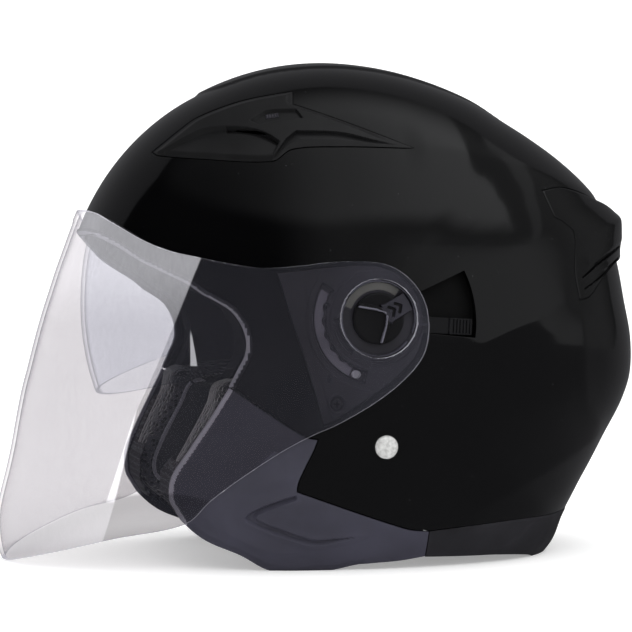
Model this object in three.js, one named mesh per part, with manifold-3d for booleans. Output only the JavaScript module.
// Open-face motorcycle helmet with a long clear face shield and a drop-down sun visor.
// Units: millimetres. +Z up, -X front of the helmet, -Y the wearer's left side.
// Everything is drawn from an origin on the pivot axis (parallel to Y) of the sun visor and
// its lever; the group is lifted by PIVOT_H, so the finished part stands on z = 0.
// Left-side parts are given by their distance outwards from the middle plane.
import * as THREE from 'three';
import { mergeVertices } from 'three/addons/utils/BufferGeometryUtils.js';
import Module from 'manifold-3d';

const wasm = await Module();
wasm.setup();

// ---------------------------------------------------------------- driving dimensions
const PIVOT_H = 130;      // pivot axis above the resting plane
const HALF_LEN = 176.2;   // half length over shield lip and rear bump
const HALF_W = 121;       // half width of the outer shell at the pivots
const POW = 2.2;          // squareness of every cross-section
const SHELL_T = 3.5;      // outer shell wall
const POCKET_D = 5.0;     // depth of the pivot recess in the shell
const FLOOR_T = 2.2;      // shell wall under the recess
const GAP = 0.3;          // gap between neighbouring parts
const GASKET_W = 2.1;     // width of the eyeport gasket
const VENT_SEAT = -1.5;   // floor of the vent pockets, from the shell surface
const VENT_BACK = -1.2;   // back face of the vent covers, from the shell surface
const VENT_GAP = 0.4;     // gap round the vent covers and the base plates
const REACH = 140;        // cutters reach this far sideways, past the shell

// side profile of the shell: [angle, radius from the pivot axis]
// (0 = rear, 90 = up, 180 = front)
const SHELL_PROFILE = [
  [-180, 142], [-160, 150], [-145, 162], [-132, 170], [-110, 175], [-90, 176], [-70, 180],
  [-55, 183], [-45.2, 182.3], [-40, 177], [-35.6, 174.8], [-31.4, 173.8], [-23.1, 174.6],
  [-15.2, 178.6], [-10.5, 179.8], [-4.2, 177.6], [3.1, 173.3], [10.5, 171.5], [17, 170.2],
  [22.5, 169], [25.9, 167], [33, 160.8], [40.4, 154.4], [47.8, 149.4], [55.4, 146.5],
  [62.5, 143.9], [69.5, 142], [80, 140.3], [90, 139.7], [110, 139.3], [130, 139.3],
  [154.4, 139.4], [165, 139.6], [180, 141],
];
// the same for the rear exhaust vent, which stands proud of the shell
const VENT_PROFILE = [
  [-180, 142], [0, 172.5], [8, 173.2], [12, 174.6], [14, 176], [17.8, 180], [19.6, 177.1],
  [22.5, 172.7], [25.9, 168], [33, 161.4], [40.4, 155], [60, 146.5], [90, 141], [180, 142],
];

// side outlines, [x, z]; the first four points are shared corners
const JAW_CORNER = [-69.5, -33.1];
const CHIN_CORNER = [-88.5, -104.2];
const TRIM_CORNER_TOP = [37.9, -109.6];
const TRIM_CORNER_BOTTOM = [37.9, -123.9];
const OPENING = [
  [-170, 62.6], [-128.6, 45], [-119, 38.5], [-110.5, 31.6], [-100.3, 25.6], [-88.4, 19],
  [-81.7, 13.9], [-73.5, 9.2], [-68, 5.1], [-63.2, -2.2], [-61.1, -9.6], [-61.8, -17],
  [-65.3, -24.4], JAW_CORNER,
];
const CHIN_FRONT = [
  JAW_CORNER, [-78.7, -49.5], [-87.7, -65.2], [-95.4, -80.2], [-95.6, -92], [-92.3, -98.4],
  CHIN_CORNER,
];
const CHIN_BOTTOM = [
  CHIN_CORNER, [-77.1, -113.8], [-59.3, -121.7], [-42, -130.6], [-14, -130.6], [2.9, -127.3],
  [24.3, -125.8], TRIM_CORNER_BOTTOM,
];
const CHIN_TOP = [
  TRIM_CORNER_TOP, [28.2, -108.6], [21.4, -106.7], [-0.8, -99], [-22.4, -91.1], [-34.4, -86.7],
  [-34.2, -82.5], [-31.2, -74.2], [-27.6, -65.9], [-25.4, -59.7], [-32.1, -58.1],
  [-52.4, -45.2], JAW_CORNER,
];
const TRIM_TOP = [
  TRIM_CORNER_TOP, [61.1, -108], [91.8, -106.2], [118, -106], [135, -105.6], [150, -104.6],
  [200, -102],
];
const TRIM_BOTTOM = [[200, -131], [112, -131], [104, -128.5], [84, -126], [58, -124.8]];
const BASE_OUTLINE = [
  [-46, 24.5], [-33, 26], [-18, 27.5], [0, 28.3], [10.8, 26.1], [20, 20], [26.1, 10.8],
  [28.2, 0], [27.3, -8.5], [23.5, -18], [14, -28], [0, -38.5], [-12, -46.5], [-22.2, -52],
  [-25.5, -42], [-33, -18], [-40, 3],
];
const TOP_VENT = [
  [-98.5, 87.9], [-97.1, 86.2], [-78.9, 83.6], [-45.1, 81.9], [-34.3, 88.2], [-9.7, 89.6],
  [29.9, 89.2], [12.3, 95.9], [-7.4, 103.7], [-29.5, 112.4], [-27.6, 119.6], [-53.2, 114.6],
  [-74.8, 106.3], [-85.2, 98.9],
];
const TOP_VENT_INLET = [
  [-64, 99.2], [-47.5, 98.4], [-37.6, 91.8], [-39.4, 89.8], [-48.2, 95.1], [-64.4, 97],
];
const TOP_VENT_DUCT = [[-60, 98.6], [-49, 98], [-44, 95.2], [-49, 95.9], [-59, 97.4]];
const SLIDER_POCKET = [
  [-52.4, 102.6], [-43.4, 107.6], [-28.8, 108.4], [-26, 103.4], [-38.1, 102.2], [-48.6, 99.9],
];
const REAR_VENT = [
  [109.2, 54], [113.8, 52.4], [121.5, 47.2], [122, 41.9], [119.9, 24.9], [122.6, 10.1],
  [130.2, 12.1], [143.9, 23.6], [160, 31], [200, 41], [200, 56], [171, 57], [150, 63],
  [119.7, 70], [104, 68],
];

// places on the side of the helmet, [x, z]
const SHIELD_PIVOT = [4.4, 1.8];
const SCREW = [-16.4, -41.4];
const RIVET = [10.1, -63.9];
const RIVET_BORE = 2.7;

// ---------------------------------------------------------------- finishes
const STEEL = { color: 0xb9bcc0, metalness: 0.9 };
const SEMI_BLACK = 0x17171a, DARK_PLASTIC = 0x232327;
const FINISH = {
  shell: { color: 0x0b0b0d, roughness: 0.08 },
  gasket: { color: 0x3c3c40, roughness: 0.6 },
  jaw: { color: 0x34323c, roughness: 0.5 },
  trim: { color: 0x2d2d34, roughness: 0.55 },
  vent: { color: SEMI_BLACK, roughness: 0.35 },
  slider: { color: SEMI_BLACK, roughness: 0.4 },
  knob: { color: SEMI_BLACK, roughness: 0.3 },
  foam: { color: 0x1b1b1d, roughness: 0.9 },
  fabric: { color: 0x2a2a2e, roughness: 0.95 },
  webbing: { color: 0x161618, roughness: 0.95 },
  base: { color: DARK_PLASTIC, roughness: 0.35 },
  visorLever: { color: DARK_PLASTIC, roughness: 0.4 },
  gear: { color: 0xe8e6dc, roughness: 0.5 },
  tongue: { color: 0x1c1c1e, roughness: 0.4 },
  redLever: { color: 0xb3262a, roughness: 0.4 },
  clear: { color: 0xdfe3ea, roughness: 0.05, opacity: 0.3 },
  smoke: { color: 0x707880, roughness: 0.05, opacity: 0.5 },
  screw: { color: 0x4a4a50, roughness: 0.35, metalness: 0.8 },
  rivet: { color: 0xe2e2e2, roughness: 0.25, metalness: 1 },
  pin: { ...STEEL, roughness: 0.3 },
  buckle: { ...STEEL, roughness: 0.35 },
  plate: { ...STEEL, roughness: 0.4 },
};

// ---------------------------------------------------------------- solids and meshes
function toSolid(geometry) {
  const bare = geometry.clone();
  for (const name of Object.keys(bare.attributes)) {
    if (name !== 'position') bare.deleteAttribute(name);
  }
  const merged = mergeVertices(bare, 1e-3);
  const index = merged.index, triangles = [];
  for (let i = 0; i < index.count; i += 3) {
    const a = index.getX(i), b = index.getX(i + 1), c = index.getX(i + 2);
    if (a !== b && b !== c && a !== c) triangles.push(a, b, c);
  }
  return new wasm.Manifold(new wasm.Mesh({
    numProp: 3,
    vertProperties: new Float32Array(merged.attributes.position.array),
    triVerts: new Uint32Array(triangles),
  }));
}

function toGeometry(solid) {
  const mesh = solid.getMesh();
  const geometry = new THREE.BufferGeometry();
  const positions = new Float32Array(mesh.vertProperties);
  geometry.setAttribute('position', new THREE.BufferAttribute(positions, 3));
  geometry.setIndex(new THREE.BufferAttribute(new Uint32Array(mesh.triVerts), 1));
  geometry.computeVertexNormals();
  return geometry;
}

// the same solid reflected to the wearer's other side
function mirrorY(solid) {
  const mesh = solid.getMesh();
  const vertProperties = new Float32Array(mesh.vertProperties);
  const triVerts = new Uint32Array(mesh.triVerts);
  for (let i = 1; i < vertProperties.length; i += 3) vertProperties[i] = -vertProperties[i];
  for (let i = 0; i < triVerts.length; i += 3) {
    [triVerts[i], triVerts[i + 1]] = [triVerts[i + 1], triVerts[i]];
  }
  return new wasm.Manifold(new wasm.Mesh({ numProp: 3, vertProperties, triVerts }));
}
const bothSides = (solid) => solid.add(mirrorY(solid));
const largest = (solid) => solid.decompose().sort((a, b) => b.volume() - a.volume())[0];

const root = new THREE.Group();
root.name = 'helmet';
root.position.z = PIVOT_H;

function add(name, solid, { color, roughness, metalness = 0, opacity = 1 }) {
  const material = new THREE.MeshStandardMaterial({
    color, roughness, metalness, transparent: opacity < 1, opacity,
  });
  const mesh = new THREE.Mesh(toGeometry(solid), material);
  mesh.name = name;
  root.add(mesh);
}
function addPair(name, solid, finish) {
  add(`${name}_left`, solid, finish);
  add(`${name}_right`, mirrorY(solid), finish);
}

// ---------------------------------------------------------------- curved surfaces
const radians = (angle) => angle * Math.PI / 180;
const degrees = (angle) => angle * 180 / Math.PI;
const snap = (value) => (Math.abs(value) < 1e-6 ? 0 : value);
const clampUnit = (value) => Math.max(-1, Math.min(1, value));
const signedPow = (value, power) => Math.sign(value) * Math.pow(Math.abs(value), power);

// periodic Hermite interpolation of an [angle, radius] table
function profile(table) {
  const last = table.length - 1, first = table[0][0], end = table[last][0];
  const period = end - first;
  const slopes = table.map((_, i) => {
    const before = i > 0 ? table[i - 1] : [table[last - 1][0] - period, table[last - 1][1]];
    const after = i < last ? table[i + 1] : [table[1][0] + period, table[1][1]];
    return (after[1] - before[1]) / (after[0] - before[0]);
  });
  return (angle) => {
    let at = angle;
    while (at < first) at += period;
    while (at > end) at -= period;
    let i = 0;
    while (i < last - 1 && at > table[i + 1][0]) i++;
    const [[angle0, radius0], [angle1, radius1]] = table.slice(i, i + 2);
    const step = angle1 - angle0, s = (at - angle0) / step;
    return (2 * s ** 3 - 3 * s ** 2 + 1) * radius0
      + (s ** 3 - 2 * s ** 2 + s) * step * slopes[i]
      + (-2 * s ** 3 + 3 * s ** 2) * radius1
      + (s ** 3 - s ** 2) * step * slopes[i + 1];
  };
}
const shellRadius = profile(SHELL_PROFILE);

// sphere whose vertices are moved to the [radius, y] that place(angle, taper, unitY) returns;
// taper falls from 1 at the middle plane to 0 at the sides
function wrapSphere(around, across, power, place) {
  const geometry = new THREE.SphereGeometry(1, around, across);
  const points = geometry.attributes.position;
  for (let i = 0; i < points.count; i++) {
    const x = snap(points.getX(i)), y = clampUnit(points.getY(i)), z = snap(points.getZ(i));
    const angle = Math.atan2(z, x);
    const taper = Math.abs(y) > 0.99999 ? 0 : Math.pow(Math.cos(Math.asin(y)), power);
    const [radius, sideways] = place(degrees(angle), taper, y);
    points.setXYZ(i, radius * Math.cos(angle), sideways, radius * Math.sin(angle));
  }
  return geometry;
}

// closed squared ellipsoid round the pivot axis, offset outwards
function skin(offset, options = {}) {
  const { radiusAt = shellRadius, halfWidth = HALF_W, around = 36, across = 12 } = options;
  return toSolid(wrapSphere(around, across, 2 / POW, (angle, taper, y) => [
    (radiusAt(angle) + offset) * taper,
    (halfWidth + offset) * signedPow(y, 2 / POW),
  ]));
}

// half width of the offset shell at a radius and angle
function skinHalfWidth(radius, angle, offset) {
  const share = radius / (shellRadius(angle) + offset);
  return share >= 1 ? 0 : (HALF_W + offset) * Math.pow(1 - Math.pow(share, POW), 1 / POW);
}

// head-shaped cavity: dome above the pivot axis, straight walls below it
function cavity(centreX, halfLength, halfWidth, top, bottom = -160) {
  const geometry = new THREE.SphereGeometry(1, 24, 12);
  geometry.rotateX(Math.PI / 2);
  const points = geometry.attributes.position, planPower = 2 / 2.3, sidePower = 2 / 2.2;
  for (let i = 0; i < points.count; i++) {
    const x = snap(points.getX(i)), y = snap(points.getY(i)), z = clampUnit(points.getZ(i));
    const angle = Math.atan2(y, x);
    let spread = Math.abs(z) > 0.99999 ? 0 : Math.pow(Math.sqrt(1 - z * z), sidePower);
    let height = top * signedPow(z, sidePower);
    if (z < 0) {
      spread = z < -0.99999 ? 0 : 1;
      height = bottom * Math.pow(-z, 1.2);
    }
    points.setXYZ(
      i,
      centreX + halfLength * spread * signedPow(Math.cos(angle), planPower),
      halfWidth * spread * signedPow(Math.sin(angle), planPower),
      height,
    );
  }
  return toSolid(geometry);
}

// ---------------------------------------------------------------- flat and turned solids
function extrude(outline, depth) {
  const shape = new THREE.Shape(outline.map(([u, v]) => new THREE.Vector2(u, v)));
  return new THREE.ExtrudeGeometry(shape, { depth, bevelEnabled: false, steps: 1 });
}
// prism with an [x, z] outline between two y planes
function prism(outline, y0, y1) {
  const geometry = extrude(outline, y1 - y0);
  geometry.rotateX(Math.PI / 2);
  geometry.translate(0, y1, 0);
  return toSolid(geometry);
}
const through = (outline) => prism(outline, -REACH, REACH);
// prism on the left side between two distances from the middle plane
const slab = (outline, near = 70, far = REACH) => prism(outline, -far, -near);

// prism with a [y, z] outline between two x planes
function prismX(outline, x0, x1) {
  const geometry = extrude(outline, x1 - x0);
  geometry.applyMatrix4(new THREE.Matrix4().set(0, 0, 1, x0, 1, 0, 0, 0, 0, 1, 0, 0, 0, 0, 0, 1));
  return toSolid(geometry);
}
function box([x0, x1], [y0, y1], [z0, z1]) {
  const geometry = new THREE.BoxGeometry(x1 - x0, y1 - y0, z1 - z0);
  geometry.translate((x0 + x1) / 2, (y0 + y1) / 2, (z0 + z1) / 2);
  return toSolid(geometry);
}
// cylinder along Y on the left side between two distances from the middle plane
function disc(radius, near, far, facets, [x, z] = [0, 0]) {
  const geometry = new THREE.CylinderGeometry(radius, radius, far - near, facets);
  geometry.translate(x, -(near + far) / 2, z);
  return toSolid(geometry);
}
// turned piece on the left side: [radius, distance from the middle plane], closed on its axis
function turned(section, facets, [x, z]) {
  const points = section.map(([radius, distance]) => new THREE.Vector2(radius, -distance));
  const geometry = new THREE.LatheGeometry(points.reverse(), facets);
  geometry.translate(x, 0, z);
  return toSolid(geometry);
}

// ---------------------------------------------------------------- outline tools
const moved = (outline, dx, dz) => outline.map(([x, z]) => [x + dx, z + dz]);

// closed outline grown by a distance (negative shrinks)
function grow(outline, distance) {
  const count = outline.length;
  let area = 0;
  outline.forEach((a, i) => {
    const b = outline[(i + 1) % count];
    area += a[0] * b[1] - b[0] * a[1];
  });
  const turn = area > 0 ? 1 : -1;
  const normal = (a, b) => {
    const length = Math.hypot(b[0] - a[0], b[1] - a[1]);
    return [turn * (b[1] - a[1]) / length, -turn * (b[0] - a[0]) / length];
  };
  return outline.map((point, i) => {
    const n1 = normal(outline[(i + count - 1) % count], point);
    const n2 = normal(point, outline[(i + 1) % count]);
    // the floor keeps sharp corners from shooting out
    const k = Math.max(0.35, 1 + n1[0] * n2[0] + n1[1] * n2[1]);
    return [
      point[0] + distance * (n1[0] + n2[0]) / k,
      point[1] + distance * (n1[1] + n2[1]) / k,
    ];
  });
}
// open line shifted sideways, to the left of its direction
function shift(line, distance) {
  return line.map((point, i) => {
    const a = line[Math.max(0, i - 1)], b = line[Math.min(line.length - 1, i + 1)];
    const length = Math.hypot(b[0] - a[0], b[1] - a[1]);
    return [
      point[0] - distance * (b[1] - a[1]) / length,
      point[1] + distance * (b[0] - a[0]) / length,
    ];
  });
}
// band of a given thickness centred on an open line
function ribbon(path, thickness) {
  return [...shift(path, thickness / 2), ...shift(path, -thickness / 2).reverse()];
}
function arc(radius, start, end, steps, [x, z] = [0, 0]) {
  return Array.from({ length: steps + 1 }, (_, i) => {
    const angle = radians(start + (end - start) * i / steps);
    return [x + radius * Math.cos(angle), z + radius * Math.sin(angle)];
  });
}
function sector(inner, outer, start, end, steps) {
  return [...arc(outer, start, end, steps), ...arc(inner, end, start, steps)];
}
const rectangle = (u0, u1, v0, v1) => [[u0, v0], [u1, v0], [u1, v1], [u0, v1]];

// ---------------------------------------------------------------- outer shell
const LIMITS = box([-HALF_LEN, HALF_LEN], [-REACH, REACH], [-PIVOT_H, 160]);
const SHELL_EDGE = shift(OPENING, GASKET_W + GAP); // shell edge outside the gasket
// fan-shaped recess behind the left pivot, for the visor lever
const LEVER_RECESS = [...arc(25, -12.5, 31, 4).reverse(), ...arc(57.4, -8.6, 26.9, 5)];

// base plate recess on both sides and lever recess on the left
function recesses(plateMargin, leverMargin) {
  const plate = slab(grow(BASE_OUTLINE, plateMargin));
  return plate.add(slab(grow(LEVER_RECESS, leverMargin))).add(mirrorY(plate));
}

function makeShell() {
  const outline = [
    [-200, SHELL_EDGE[0][1] + 10],
    ...SHELL_EDGE.slice(0, -1),
    [-66.5, -33.6],
    ...shift(CHIN_TOP.slice(0, -1).reverse(), GAP),
    ...moved(TRIM_TOP.slice(1), 0, GAP),
    [200, 200], [-200, 200],
  ];
  const recessWalls = recesses(3, 2.6).subtract(skin(-POCKET_D - FLOOR_T));
  const hollow = skin(-SHELL_T).subtract(recessWalls);
  const leverSlot = slab(sector(19.4, 28.6, -19, 36, 4));
  const topPocket = slab(grow(TOP_VENT, VENT_GAP), 25).subtract(skin(VENT_SEAT));
  const rearPocket = through(grow(REAR_VENT, VENT_GAP)).subtract(skin(VENT_SEAT));
  return skin(0).subtract(hollow).intersect(through(outline))
    .subtract(recesses(VENT_GAP, 0).subtract(skin(-POCKET_D)))
    .subtract(leverSlot)
    .subtract(bothSides(disc(1.9, 90, REACH, 8, SCREW)))
    .subtract(bothSides(disc(RIVET_BORE, 90, REACH, 8, RIVET)))
    .subtract(bothSides(topPocket))
    .subtract(bothSides(slab(TOP_VENT_DUCT, 25)))
    .subtract(rearPocket)
    .subtract(box([100, 200], [-42, 42], [30, 44])) // duct behind the rear vent
    .intersect(LIMITS);
}

// ---------------------------------------------------------------- edge trims and covers
function makeGasket() {
  const outline = [
    ...OPENING.slice(0, -1),
    [-69.2, -32.9], [-67.1, -33.4],
    ...shift(OPENING, GASKET_W).slice(0, -1).reverse(),
  ];
  return skin(0.7).subtract(skin(-4.3)).intersect(through(outline));
}

function makeJawPanel() {
  const outline = [...CHIN_FRONT, ...CHIN_BOTTOM.slice(1), ...CHIN_TOP.slice(0, -1)];
  return skin(0.5).subtract(skin(-3.6)).intersect(slab(grow(outline, -GAP), 30))
    .intersect(LIMITS);
}

function makeRearTrim() {
  const outline = [[38.2, -109.8], ...TRIM_TOP.slice(1), ...TRIM_BOTTOM, [38.2, -124]];
  return skin(0.4).subtract(skin(-6)).intersect(through(outline)).intersect(LIMITS);
}

function makeTopVentCover() {
  return skin(0.4).subtract(skin(VENT_BACK)).intersect(slab(TOP_VENT, 25))
    .subtract(slab(TOP_VENT_INLET, 25))
    .subtract(slab(SLIDER_POCKET, 25).subtract(skin(-0.6)));
}

function makeRearVent() {
  const upperSlot = slab([[150, 31], [200, 44], [200, 47], [150, 34]], 8, 60);
  const lowerSlot = slab([[140, 25.5], [200, 49.5], [200, 52.5], [140, 28.5]], 8, 52)
    .intersect(box([140, 172], [-60, 0], [20, 60]));
  return skin(0, { radiusAt: profile(VENT_PROFILE), around: 72 }).subtract(skin(VENT_BACK))
    .intersect(through(REAR_VENT)).intersect(LIMITS)
    .subtract(bothSides(upperSlot))
    .subtract(bothSides(lowerSlot));
}

// small sliding block lying on the left top vent
const SLIDER_CENTRE = [-41, 105.2]; // [x, z]
const SLIDER_SIZE = [7, 3.4, 1.2];  // along, across and off the shell

// tangent frame of the left shell surface at the slider
function sliderFrame() {
  const [centreX, centreZ] = SLIDER_CENTRE, reach = 0.5, rise = 0.08;
  const onShell = (x, z) => {
    const sideways = skinHalfWidth(Math.hypot(x, z), degrees(Math.atan2(z, x)), 0);
    return new THREE.Vector3(x, -sideways, z);
  };
  const direction = (dx, dz) => onShell(centreX + dx, centreZ + dz)
    .sub(onShell(centreX - dx, centreZ - dz)).normalize();
  const centre = onShell(centreX, centreZ);
  const along = direction(reach, rise);
  const outwards = new THREE.Vector3().crossVectors(along, direction(0, reach)).normalize();
  if (outwards.dot(centre) < 0) outwards.negate();
  const across = new THREE.Vector3().crossVectors(outwards, along).normalize();
  return { centre, along, across, outwards };
}

function makeVentSlider({ centre, along, across, outwards }) {
  const geometry = new THREE.BoxGeometry(...SLIDER_SIZE);
  geometry.translate(0, 0, 0.3);
  geometry.applyMatrix4(
    new THREE.Matrix4().makeBasis(along, across, outwards).setPosition(centre),
  );
  return toSolid(geometry);
}

// ---------------------------------------------------------------- chin strap and buckle
const STRAP_W = 20, STRAP_T = 2.2;
const STRAP_X = [RIVET[0] - STRAP_W / 2, RIVET[0] + STRAP_W / 2];
const BUCKLE_X = RIVET[0], BUCKLE_Z = -100.5;
// centre line of the left strap, [y, z]
const STRAP_PATH = [
  [-106.4, -54.5], [-106.1, -73], [-97.3, -83], [-66, -84.5], [-55, -87.5], [-44, -95],
  [-32, -99.6], [-22.4, BUCKLE_Z],
];
// the right strap ends earlier; its path is given as on the left, before mirroring
const RIGHT_STRAP_PATH = [...STRAP_PATH.slice(0, -2), [-36, -98.5]];

// room for the left strap through the liner and cheek pad
function strapTunnel() {
  const path = [[-106.5, -50.5], ...STRAP_PATH.slice(1)], margin = 1.2;
  return prismX(ribbon(path, STRAP_T + 4.4), STRAP_X[0] - margin, STRAP_X[1] + margin);
}

const rivetHole = () => disc(RIVET_BORE, 90, 130, 8, RIVET);
const makeStrap = (path) => prismX(ribbon(path, STRAP_T), ...STRAP_X).subtract(rivetHole());
const makeWasher = () => disc(8, 103.3, 104.8, 12, RIVET).subtract(rivetHole());

function makeRivet() {
  return turned([
    [0, 103], [2.3, 103], [2.3, 115.6], [6, 115.6], [5.9, 116.4], [4.6, 117.6], [2.4, 118.4],
    [0, 118.6],
  ], 12, RIVET);
}

// buckle piece with a [y, z above BUCKLE_Z] outline, centred on the strap
function buckleBar(outline, halfWidth) {
  return prismX(moved(outline, 0, BUCKLE_Z), BUCKLE_X - halfWidth, BUCKLE_X + halfWidth);
}

// channel open downwards
function makeBuckleBody() {
  const halfWidth = 12, wallInside = 10.2, length = [-22, 8], top = BUCKLE_Z + 1;
  const wall = (x0, x1) => box([BUCKLE_X + x0, BUCKLE_X + x1], length, [BUCKLE_Z - 7, top]);
  const roof = [BUCKLE_Z - 1.2, top];
  return box([BUCKLE_X - halfWidth, BUCKLE_X + halfWidth], length, roof)
    .add(wall(-halfWidth, -wallInside))
    .add(wall(wallInside, halfWidth));
}

// tongue notched underneath, with a wide slotted end
function makeBuckleTongue() {
  const bottom = -4.2, top = -1.6, notchPitch = 2.6;
  let tongue = buckleBar(rectangle(-16, 22, bottom, top), 6.5);
  for (let i = 0; i < 8; i++) {
    const start = -14 + i * notchPitch, end = -12.6 + i * notchPitch;
    tongue = tongue.subtract(buckleBar([[start, -5], [end, -5], [end, -3.4]], 7));
  }
  return tongue.add(buckleBar(rectangle(13, 22, bottom, top), 11))
    .subtract(buckleBar(rectangle(17.4, 19.6, -6, 0), 9));
}

function makeBuckleLever() {
  const body = [
    [-19.5, -4.8], [-16.5, -6.2], [9, -6.2], [13, -8.2], [12, -9], [8, -7.9], [-17, -7.9],
    [-20.2, -6.6],
  ];
  const pawl = [[-8, -6.4], [-8, -4.6], [-6.6, -4.6], [-5, -6.4]];
  return buckleBar(body, 9.8).add(buckleBar(pawl, 6));
}

function makeBucklePin() {
  const geometry = new THREE.CylinderGeometry(0.9, 0.9, 19.8, 12);
  geometry.rotateZ(Math.PI / 2);
  geometry.translate(BUCKLE_X, -20.6, BUCKLE_Z - 3.1);
  return toSolid(geometry);
}

// ---------------------------------------------------------------- liner and comfort parts
const HEAD_X = 12; // centre of the head cavity
const CHEEK_OUTLINE = [
  [-66, -31], [-75, -47.5], [-84, -64], [-91, -79.5], [-91.4, -91], [-88, -97.5], [-82, -104],
  [-74, -110.5], [-57, -117], [-38, -122], [-10, -121], [20, -119.5], [36, -118], [38, -100],
  [34, -60], [24, -28], [0, -25], [-50, -29],
];
const coarseSkin = (offset) => skin(offset, { around: 24, across: 10 });

// swing space of the sun visor
function visorSwing() {
  const outline = [[0, -20], ...arc(20, -60, 60, 4), [0, 20], ...arc(220, 92, 206, 8)];
  const innerFace = skin(0, { radiusAt: () => 124.4, halfWidth: 101.5, around: 24, across: 10 });
  return through(outline).subtract(innerFace);
}

function makeLiner() {
  const outline = [
    [-200, 72.6],
    ...SHELL_EDGE.slice(0, -1),
    ...shift(CHIN_FRONT, GASKET_W),
    [-84.5, -103.6],
    ...moved(CHIN_BOTTOM.slice(1, 3), 1.5, 5),
    [-40, -124], [-12, -124], [4, -121.3], [24, -119.8], [36.5, -117.8], [36.8, -106.4],
    [200, -100], [200, 200], [-200, 200],
  ];
  const recessRoom = slab(grow(BASE_OUTLINE, 3.6)).add(slab(grow(LEVER_RECESS, 3.2)));
  const cheekHollow = through(grow(CHEEK_OUTLINE, 1.2)).intersect(coarseSkin(-13.5));
  const rivetWell = disc(13, 100, REACH, 10, RIVET);
  return largest(skin(-SHELL_T - 1.6, { across: 10 }).intersect(through(outline))
    .subtract(cavity(HEAD_X, 115, 79, 104))
    .subtract(visorSwing())
    .subtract(bothSides(recessRoom).subtract(skin(-POCKET_D - FLOOR_T - 0.5)))
    .subtract(disc(40, 99.6, REACH, 16))          // visor drive, left
    .subtract(mirrorY(disc(16, 99.6, REACH, 10))) // visor pin, right
    .subtract(cheekHollow)
    .subtract(bothSides(strapTunnel().add(rivetWell))));
}

function makeCrownPad() {
  const outline = [
    [-150, 60], [-105, 34], [-60, 24], [40, 8], [160, 2], [160, 160], [-150, 160],
  ];
  return cavity(HEAD_X, 114.6, 78.6, 103.6).subtract(cavity(HEAD_X, 105.5, 69.5, 94.6))
    .intersect(through(outline));
}

function makeCheekPad() {
  return largest(coarseSkin(-14).intersect(slab(CHEEK_OUTLINE, 20))
    .subtract(cavity(6, 150, 58, 100, -165))
    .subtract(strapTunnel()));
}

function makeNeckRoll() {
  const outline = [
    [42, -106.8], [60, -106.2], [200, -100.4], [200, -127], [108, -127], [84, -124],
    [42, -122.4],
  ];
  return largest(skin(-6.4).subtract(cavity(HEAD_X, 108, 72, 100)).intersect(through(outline)));
}

// ---------------------------------------------------------------- shield pivots
// base plate in the shell recess: well for the knob, curved detent slot, screw hole,
// clearance under its rear edge for the visor lever
function makePivotBase() {
  const leverRoom = slab(sector(18.2, 60, -20, 37, 4), 100, 118.9);
  const detentSlot = slab(moved(sector(27.1, 33.7, 148, 258, 5), ...SHIELD_PIVOT), 117.2);
  return skin(0.2).subtract(skin(-POCKET_D + GAP)).intersect(slab(BASE_OUTLINE))
    .add(disc(19.4, 117, 122.4, 16, SHIELD_PIVOT))
    .subtract(disc(18.6, 119.6, REACH, 16, SHIELD_PIVOT))
    .subtract(leverRoom)
    .subtract(detentSlot)
    .subtract(disc(1.8, 100, REACH, 8, SCREW))
    .subtract(disc(3.7, 116.2, REACH, 12, SCREW))
    .subtract(disc(4.0, 100, REACH, 12, SHIELD_PIVOT));
}

// cross-slotted screw
function makeBaseScrew() {
  const slot = (halfX, halfZ) => box(
    [SCREW[0] - halfX, SCREW[0] + halfX], [-121, -117.3], [SCREW[1] - halfZ, SCREW[1] + halfZ],
  );
  const section = [
    [0, 111.2], [1.4, 111.2], [1.4, 116.5], [3.2, 116.5], [3.2, 117.5], [2.2, 118.1],
    [0, 118.2],
  ];
  return turned(section, 10, SCREW).subtract(slot(1.7, 0.4)).subtract(slot(0.4, 1.7));
}

// quick-release knob: round button with a pointer bar, turning in the base plate's well
function makeReleaseKnob() {
  const back = 119.9, cos = Math.cos(radians(30)), sin = Math.sin(radians(30));
  const pointer = [[4, -5.2], [17.2, -5], [17.6, 0], [17.2, 5], [4, 5.2]].map(([x, z]) => [
    SHIELD_PIVOT[0] + x * cos - z * sin,
    SHIELD_PIVOT[1] + x * sin + z * cos,
  ]);
  return disc(13.2, back, 124.2, 18, SHIELD_PIVOT)
    .add(slab(pointer, back, 123))
    .add(disc(3.5, 116.4, 120.4, 12, SHIELD_PIVOT));
}

// ---------------------------------------------------------------- face shield
const SHIELD_T = 2.0;      // wall
const SHIELD_OFFSET = 2.9; // outer face above the shell
const EAR_BORE = 20;       // radius of the bore in the ear
const EAR_PIN = [-6.9, -26.4];
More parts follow.
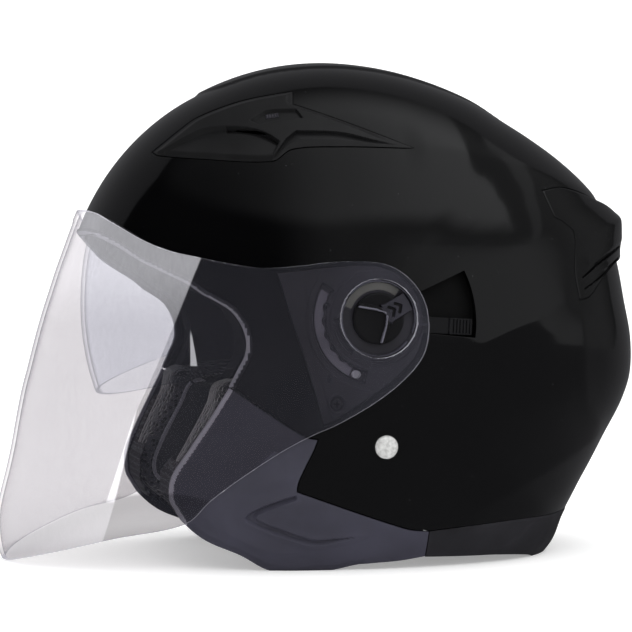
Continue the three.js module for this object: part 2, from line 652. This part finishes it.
// centre-line profile, [angle, radius]
const SHIELD_PROFILE = [
  [0, 180], [90, 143.8], [150, 143.8], [160.7, 143.8], [165.3, 144.4], [169.8, 145.9],
  [174.2, 147.9], [178.4, 150.7], [182.5, 154], [186.4, 157.7], [190.1, 162], [193.5, 167],
  [196.8, 172.1], [200, 177.6], [202.9, 183.4], [205.7, 190.4], [208.3, 198.2],
  [210.9, 206.2], [213.3, 211.6], [216.8, 217], [222, 216], [229.6, 201], [240, 190],
  [270, 182], [320, 181], [360, 180],
];
const SHIELD_OUTLINE = [
  [-150, 66], [-128.5, 56.6], [-122.2, 51.2], [-109.3, 41.6], [-97.7, 36.1], [-86.4, 33.2],
  [-74.2, 30.4], [-54.8, 27.3], [-35.1, 28.4], [-20, 30.2], [0.5, 30.4], [12.2, 27.6],
  [22.6, 19.8], [29, 9], [30.6, -4], [27.5, -17.5], [16.2, -30.6], [0.7, -42.1],
  [-17.1, -52.1], [-29.6, -57.6], [-44.2, -65.8], [-63.1, -79.4], [-76.8, -91.3],
  CHIN_CORNER, [-123.5, -112.4], [-149, -120.3], [-165, -126], [-174, -129.7],
  [-190, -131], [-230, -131], [-230, 66],
];

// outer surface: follows the shell at the sides, runs out to the long chin in front
function shieldSurface() {
  const radiusAt = profile(SHIELD_PROFILE), widest = HALF_W + SHIELD_OFFSET;
  const geometry = wrapSphere(36, 14, 0.95, (signedAngle, taper, y) => {
    const angle = signedAngle < 0 ? signedAngle + 360 : signedAngle;
    const radius = radiusAt(angle) * taper;
    const chin = Math.min(1, Math.max(0, (angle - 188) / 24)); // 0 above, 1 at the chin
    const power = POW - 0.38 * chin * chin * (3 - 2 * chin);
    const front = widest * Math.pow(Math.max(0, 1 - Math.pow(taper, power)), 1 / power);
    const side = skinHalfWidth(radius, angle, SHIELD_OFFSET);
    // the wider of the two, with a rounded change-over
    const round = 2.5 * Math.min(1, Math.abs(y) * 4) * chin;
    const wider = 0.5 * (front + side + Math.sqrt((front - side) ** 2 + round * round));
    return [radius, Math.abs(y) < 1e-6 ? 0 : Math.sign(y) * wider];
  });
  for (const name of ['normal', 'uv']) geometry.deleteAttribute(name);
  const surface = mergeVertices(geometry, 1e-3);
  surface.computeVertexNormals();
  return surface;
}

function insetSurface(surface, depth) {
  const inner = surface.clone();
  const points = inner.attributes.position, normals = surface.attributes.normal;
  for (let i = 0; i < points.count; i++) {
    const y = points.getY(i);
    points.setXYZ(
      i,
      points.getX(i) - depth * normals.getX(i),
      Math.abs(y) < 1e-6 ? 0 : y - depth * normals.getY(i),
      points.getZ(i) - depth * normals.getZ(i),
    );
  }
  return inner;
}

function makeFaceShield() {
  const outer = shieldSurface();
  return toSolid(outer).subtract(toSolid(insetSurface(outer, SHIELD_T)))
    .intersect(prism(SHIELD_OUTLINE, -160, 160)).intersect(LIMITS)
    .subtract(bothSides(disc(EAR_BORE, 90, 160, 16, SHIELD_PIVOT)))
    .add(bothSides(disc(2, 118, 122.3, 8, EAR_PIN)));
}

// ---------------------------------------------------------------- sun visor and its drive
const VISOR_W = 106;      // half width of the sun visor at its hubs
const VISOR_T = 2.2;      // sun visor wall
const VISOR_BORE = 4.3;   // radius of the hub and gear bores
const PIN_R = 3.9;        // visor pivot pin radius
const MODULE = 1.0;       // gear module of the visor drive
const SUN_TEETH = 36, IDLER_TEETH = 10, RING_TEETH = 56;
const BACKLASH = 0.22, ADDENDUM = 0.8, DEDENDUM = 1.1; // the last two in modules
const IDLER_ANGLE = -35;  // direction of the idler from the pivot axis
const LEVER_ANGLE = -3.2; // direction of the lever at rest
const GEAR_SPAN = [106.4, 109.1];
const IDLER_DISTANCE = MODULE * (SUN_TEETH + IDLER_TEETH) / 2;
const IDLER_CENTRE = [
  IDLER_DISTANCE * Math.cos(radians(IDLER_ANGLE)),
  IDLER_DISTANCE * Math.sin(radians(IDLER_ANGLE)),
];
// centre-line profile, [angle, radius]
const VISOR_PROFILE = [
  [0, 135], [90, 135], [150, 135], [165, 132.5], [175, 130.6], [190, 129.2], [205, 128.6],
  [270, 130], [360, 135],
];

function makeSunVisor() {
  const outline = [
    ...arc(12, -90, 90, 8),
    [-50, 20], [-112, 75.5], [-150, 101], [-150, -50.5], [-115.7, -39.2], [-64.7, -23.5],
  ];
  const form = { radiusAt: profile(VISOR_PROFILE), halfWidth: VISOR_W, around: 30 };
  return skin(0, form).subtract(skin(-VISOR_T, form)).intersect(through(outline))
    .subtract(bothSides(disc(VISOR_BORE, 80, REACH, 12)));
}

// involute gear outline
function gear(teeth, backlash, addendum, dedendum, phase) {
  const pitchRadius = MODULE * teeth / 2, pressureAngle = radians(25);
  const baseRadius = pitchRadius * Math.cos(pressureAngle);
  const involute = (angle) => Math.tan(angle) - angle;
  const halfTooth = (radius) => {
    const angle = Math.acos(Math.min(1, baseRadius / Math.max(radius, baseRadius)));
    return Math.PI / (2 * teeth) - backlash / (2 * pitchRadius)
      + involute(pressureAngle) - involute(angle);
  };
  const radii = [pitchRadius - dedendum * MODULE, pitchRadius, pitchRadius + addendum * MODULE];
  const outline = [];
  const flankPoint = (radius, angle) => {
    outline.push([radius * Math.cos(angle), radius * Math.sin(angle)]);
  };
  for (let i = 0; i < teeth; i++) {
    const centre = radians(phase) + 2 * Math.PI * i / teeth;
    for (const radius of radii) flankPoint(radius, centre - halfTooth(radius));
    for (const radius of radii.toReversed()) flankPoint(radius, centre + halfTooth(radius));
  }
  return outline;
}

// toothed sector on a round hub
function makeDriveGear() {
  const phase = IDLER_ANGLE + 180 / SUN_TEETH;
  const kept = [[0, 0], ...arc(30, IDLER_ANGLE - 12, IDLER_ANGLE + 52, 4)];
  return slab(gear(SUN_TEETH, BACKLASH, ADDENDUM, DEDENDUM, phase), ...GEAR_SPAN)
    .intersect(slab(kept, 100, 120).add(disc(9, 100, 120, 16)))
    .subtract(disc(VISOR_BORE, 90, 130, 12));
}

function makeIdlerGear() {
  const outline = gear(IDLER_TEETH, BACKLASH, ADDENDUM, DEDENDUM, IDLER_ANGLE);
  return slab(moved(outline, ...IDLER_CENTRE), ...GEAR_SPAN)
    .subtract(disc(2.3, 90, 130, 10, IDLER_CENTRE));
}

// plate inside the gears, with the idler's pin
function makeDrivePlate() {
  return slab([...arc(9, 90, 250, 6), ...arc(8, -100, 10, 5, IDLER_CENTRE)], 100.2, 102.4)
    .add(disc(1.9, 102, 109, 10, IDLER_CENTRE));
}

// [radius, distance from the middle plane] outline swept across a width, at LEVER_ANGLE
function leverSection(outline, width) {
  const cos = Math.cos(radians(LEVER_ANGLE)), sin = Math.sin(radians(LEVER_ANGLE));
  const geometry = extrude(outline, width);
  geometry.translate(0, 0, -width / 2);
  geometry.applyMatrix4(
    new THREE.Matrix4().set(cos, 0, -sin, 0, 0, -1, 0, 0, sin, 0, cos, 0, 0, 0, 0, 1),
  );
  // the matrix reflects, so each triangle is turned back to face outwards
  const points = geometry.attributes.position;
  for (let i = 0; i < points.count; i += 3) {
    const first = [points.getX(i), points.getY(i), points.getZ(i)];
    points.setXYZ(i, points.getX(i + 1), points.getY(i + 1), points.getZ(i + 1));
    points.setXYZ(i + 1, ...first);
  }
  return toSolid(geometry);
}

// lever: toothed sector inside the shell, post through the recess floor, ribbed arm outside
function makeVisorLever() {
  const outer = 33.2, start = LEVER_ANGLE - 67;
  const toothSpace = gear(RING_TEETH, -BACKLASH, DEDENDUM, ADDENDUM, IDLER_ANGLE);
  const teeth = slab(sector(26.9, outer, start, IDLER_ANGLE + 10, 5), 106.4, 109.4)
    .subtract(slab(toothSpace, 100, 120));
  const plate = slab(sector(20.6, outer, start, LEVER_ANGLE + 11, 7), 109.3, 110.9);
  const post = leverSection(rectangle(22, 27.6, 109.5, 117), 7.6);
  let arm = leverSection([
    [20.8, 116], [30, 115.4], [42, 114.1], [55.2, 112], [55.4, 115.8], [43, 117.9],
    [42.4, 117.1], [30, 118.2], [20.8, 118.6],
  ], 8.2);
  for (let i = 0; i < 6; i++) { // grooves between the ribs
    const radius = 44.6 + i * 1.8, end = radius + 0.8;
    const surface = 117.65 - (radius - 43) * 0.17;
    arm = arm.subtract(leverSection([
      [radius, surface - 0.35], [end, surface - 0.5], [end, surface + 2], [radius, surface + 2],
    ], 7));
  }
  return plate.add(teeth).add(post).add(arm);
}

const makeLeftPin = () => disc(PIN_R, 102.8, 113.2, 12);
function makeRightPin() {
  return mirrorY(disc(PIN_R, 102, 113.2, 12).add(disc(7, 101.1, 102.7, 12)));
}

// ---------------------------------------------------------------- assembly
add('shell', makeShell(), FINISH.shell);
add('eyeport_gasket', makeGasket(), FINISH.gasket);
addPair('jaw_panel', makeJawPanel(), FINISH.jaw);
add('rear_trim', makeRearTrim(), FINISH.trim);
addPair('top_vent_cover', makeTopVentCover(), FINISH.vent);
add('rear_vent', makeRearVent(), FINISH.vent);

add('impact_liner', makeLiner(), FINISH.foam);
add('crown_pad', makeCrownPad(), FINISH.fabric);
addPair('cheek_pad', makeCheekPad(), FINISH.fabric);
add('neck_roll', makeNeckRoll(), FINISH.fabric);

addPair('pivot_base', makePivotBase(), FINISH.base);
addPair('base_screw', makeBaseScrew(), FINISH.screw);
addPair('release_knob', makeReleaseKnob(), FINISH.knob);
add('face_shield', makeFaceShield(), FINISH.clear);

add('sun_visor', makeSunVisor(), FINISH.smoke);
add('visor_drive_gear', makeDriveGear(), FINISH.gear);
add('visor_idler_gear', makeIdlerGear(), FINISH.gear);
add('drive_plate', makeDrivePlate(), FINISH.plate);
add('visor_lever', makeVisorLever(), FINISH.visorLever);
add('visor_pin_left', makeLeftPin(), FINISH.pin);
add('visor_pin_right', makeRightPin(), FINISH.pin);

const slider = sliderFrame();
root.userData.slider = { axis: slider.along.toArray(), centre: slider.centre.toArray() };
addPair('top_vent_slider', makeVentSlider(slider), FINISH.slider);

addPair('strap_rivet', makeRivet(), FINISH.rivet);
addPair('strap_washer', makeWasher(), FINISH.plate);
add('chin_strap_left', makeStrap(STRAP_PATH), FINISH.webbing);
add('chin_strap_right', mirrorY(makeStrap(RIGHT_STRAP_PATH)), FINISH.webbing);
add('buckle_body', makeBuckleBody(), FINISH.buckle);
add('buckle_tongue', makeBuckleTongue(), FINISH.tongue);
add('buckle_lever', makeBuckleLever(), FINISH.redLever);
add('buckle_pin', makeBucklePin(), FINISH.pin);

export default root;
